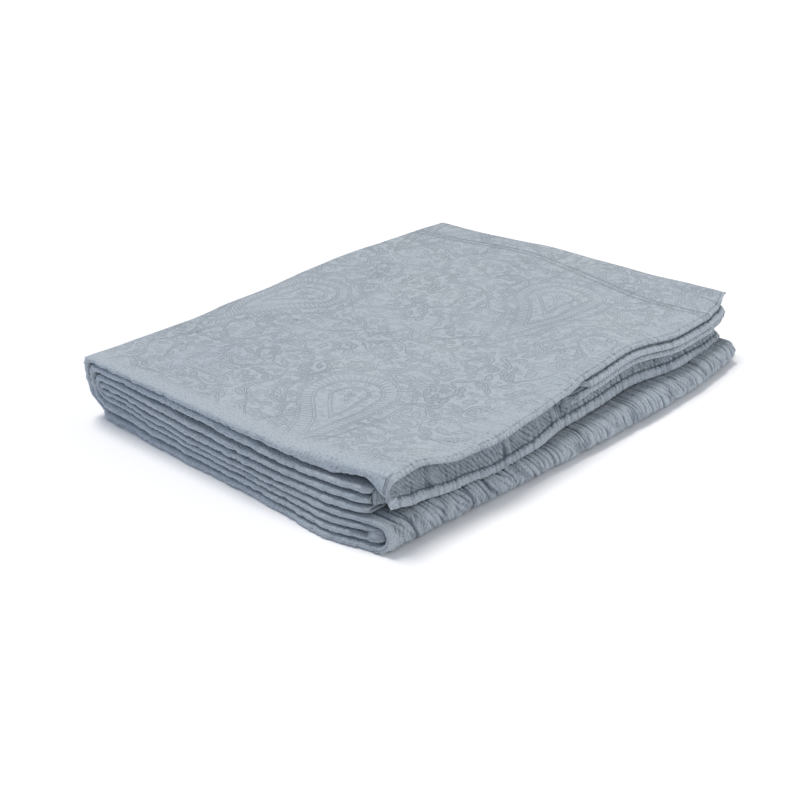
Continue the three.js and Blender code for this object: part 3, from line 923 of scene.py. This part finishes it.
    # Painted shade: the colour is darkest at the bottom of the grooves between the ruffles and in the fine
    # creases of the pleating
    groove_shade = add(tree, "Attribute", attribute_name="groove").outputs["Fac"]
    groove_shade = add(tree, "MapRange", {0: groove_shade, 1: 0.25, 2: 1.0, 3: 0.0, 4: 0.72},
                  interpolation_type="SMOOTHSTEP")
    groove_shade = add(tree, "Math", {0: groove_shade, 1: crease}, operation="ADD", use_clamp=True)
    colour = add(tree, "Mix", {0: groove_shade, 6: colour.outputs[2], 7: tuple(cloth.groove_shade_colour) + (1,)},
                 data_type="RGBA")
    shader = add(tree, "BsdfPrincipled", {
        "Base Color": colour.outputs[2], "Roughness": 0.9, "IOR": 1.45, "Specular IOR Level": 0.25,
        "Sheen Weight": 0.2, "Sheen Roughness": 0.5, "Normal": bump})
    add(tree, "OutputMaterial", {"Surface": shader})
    return material


def bedspread(cloth):
    """The folded sheet as one mesh, with its thickness and its finish."""
    bm = flat_cloth()
    fold(bm)
    mesh = bpy.data.meshes.new("folded_bedspread")
    bm.to_mesh(mesh)
    bm.free()
    mesh.shade_smooth()
    piece = bpy.data.objects.new("folded_bedspread", mesh)
    bpy.context.scene.collection.objects.link(piece)
    mesh.materials.append(matelasse(cloth))
    thickness = piece.modifiers.new("Cloth thickness", "SOLIDIFY")
    thickness.thickness = cloth.thickness
    thickness.offset = 0
    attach(piece, "root")
    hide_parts("bedspread")
    return piece


def plain_floor(stage):
    """A matt white floor that fills the photograph's view."""
    bm = bmesh.new()
    bmesh.ops.create_grid(bm, x_segments=1, y_segments=1, size=FLOOR_SIZE)
    mesh = bpy.data.meshes.new("floor")
    bm.to_mesh(mesh)
    bm.free()
    floor = bpy.data.objects.new("floor", mesh)
    bpy.context.scene.collection.objects.link(floor)
    paper = bpy.data.materials.new("Matt white paper")
    paper.use_nodes = True
    shader = paper.node_tree.nodes["Principled BSDF"]
    shader.inputs["Base Color"].default_value = tuple(stage.floor) + (1,)
    shader.inputs["Roughness"].default_value = 1.0
    shader.inputs["Specular IOR Level"].default_value = 0.0
    mesh.materials.append(paper)


def soft_lights(stage):
    """White light from all round, a broad soft lamp above, and two soft panels at the sides."""
    world = bpy.data.worlds.new("Soft white room light")
    world.use_nodes = True
    background = world.node_tree.nodes["Background"]
    background.inputs["Color"].default_value = ROOM_COLOUR
    background.inputs["Strength"].default_value = stage.room_light
    bpy.context.scene.world = world
    lamp = bpy.data.lights.new("Broad overhead light", "SUN")
    lamp.energy = stage.lamp
    lamp.color = LAMP["colour"]
    lamp.angle = math.radians(LAMP["angle"])
    light = bpy.data.objects.new("Broad overhead light", lamp)
    light.rotation_euler = [math.radians(angle) for angle in LAMP["turn"]]
    bpy.context.scene.collection.objects.link(light)
    for row in PANELS:
        panel = bpy.data.lights.new(row["name"], "AREA")
        panel.energy = row["power"]
        panel.color = row["colour"]
        panel.size = PANEL_SIZE
        fill = bpy.data.objects.new(row["name"], panel)
        fill.location = row["place"]
        fill.rotation_euler = Vector(row["place"]).to_track_quat("Z", "Y").to_euler()
        bpy.context.scene.collection.objects.link(fill)
    bpy.context.scene.view_settings.view_transform = "Standard"


def camera():
    """The photograph's view: where the camera stands, how it is turned, and its lens."""
    data = bpy.data.cameras.new("Camera")
    data.sensor_width = 36
    data.lens = VIEW["lens"]
    yaw, pitch, roll = (math.radians(VIEW[name]) for name in ("yaw", "pitch", "roll"))
    back = Vector((math.sin(yaw) * math.cos(pitch), -math.cos(yaw) * math.cos(pitch), math.sin(pitch)))
    right = Vector((math.cos(yaw), math.sin(yaw), 0))
    up = back.cross(right)
    turned_right = right * math.cos(roll) + up * math.sin(roll)
    turned_up = up * math.cos(roll) - right * math.sin(roll)
    turn = Matrix((turned_right, turned_up, back)).transposed()
    eye = bpy.data.objects.new("Camera", data)
    eye.matrix_world = Matrix.Translation(VIEW["place"]) @ turn.to_4x4()
    bpy.context.scene.collection.objects.link(eye)
    bpy.context.scene.camera = eye


class ClothSettings(bpy.types.PropertyGroup):
    """The cloth's thickness, relief and colours."""
    thickness: bpy.props.FloatProperty(
        name="Thickness", description="How thick the quilted cotton is",
        default=CLOTH_THICKNESS * MM, unit="LENGTH")
    puff: bpy.props.FloatProperty(
        name="Puff", description="How far the figures stand above the sunk lines",
        default=0.0011, unit="LENGTH")
    face: bpy.props.FloatVectorProperty(
        name="Face", description="The colour of the puffed figures",
        default=linear("#A4ADB6"), subtype="COLOR", min=0, max=1)
    faded: bpy.props.FloatVectorProperty(
        name="Faded", description="The colour where the dye is lighter",
        default=linear("#AAB2B9"), subtype="COLOR", min=0, max=1)
    # This colour is both painted shade in the sunk lines and stitch rows, and the dye's own darker flecks
    sunk: bpy.props.FloatVectorProperty(
        name="Sunk lines", description="The colour in the lines between the figures",
        default=linear("#828C99"), subtype="COLOR", min=0, max=1)
    # Painted shade: this dark colour stands for the shade at the bottom of the ruffles' grooves
    groove_shade_colour: bpy.props.FloatVectorProperty(
        name="Deep grooves", description="The colour at the bottom of the ruffles",
        default=linear("#485364"), subtype="COLOR", min=0, max=1)


class StageSettings(bpy.types.PropertyGroup):
    """The floor and the lights."""
    floor: bpy.props.FloatVectorProperty(
        name="Floor", description="The colour of the floor", default=linear("#F4F4F6"),
        subtype="COLOR", min=0, max=1)
    room_light: bpy.props.FloatProperty(
        name="Room light", description="The strength of the light from all round", default=0.46)
    lamp: bpy.props.FloatProperty(
        name="Lamp", description="The strength of the broad light from above", default=2.3)


class BEDSPREAD_OT_cloth(bpy.types.Operator):
    """Makes the folded bedspread"""
    bl_idname = "bedspread.cloth"
    bl_label = "Make the folded bedspread"

    def execute(self, context):
        bedspread(context.scene.bedspread_cloth)
        return {"FINISHED"}


class BEDSPREAD_OT_stage(bpy.types.Operator):
    """Makes the floor, the lights and the camera"""
    bl_idname = "bedspread.stage"
    bl_label = "Make the floor, lights and camera"

    def execute(self, context):
        plain_floor(context.scene.bedspread_stage)
        soft_lights(context.scene.bedspread_stage)
        camera()
        return {"FINISHED"}


class BEDSPREAD_PT_panel(bpy.types.Panel):
    """Lists the bedspread's settings and buttons"""
    bl_idname = "BEDSPREAD_PT_panel"
    bl_label = "Folded bedspread"
    bl_space_type = "VIEW_3D"
    bl_region_type = "UI"
    bl_category = "Bedspread"

    def draw(self, context):
        for settings in (context.scene.bedspread_cloth, context.scene.bedspread_stage):
            for name in settings.__annotations__:
                self.layout.prop(settings, name)
        self.layout.operator("bedspread.cloth")
        self.layout.operator("bedspread.stage")


CLASSES = ClothSettings, StageSettings, BEDSPREAD_OT_cloth, BEDSPREAD_OT_stage, BEDSPREAD_PT_panel


def register():
    for cls in CLASSES:
        bpy.utils.register_class(cls)
    bpy.types.Scene.bedspread_cloth = bpy.props.PointerProperty(type=ClothSettings)
    bpy.types.Scene.bedspread_stage = bpy.props.PointerProperty(type=StageSettings)


def unregister():
    del bpy.types.Scene.bedspread_stage
    del bpy.types.Scene.bedspread_cloth
    for cls in reversed(CLASSES):
        bpy.utils.unregister_class(cls)


def main():
    register()
    bpy.ops.bedspread.stage()
    bpy.ops.bedspread.cloth()


if __name__ == "__main__":
    main()
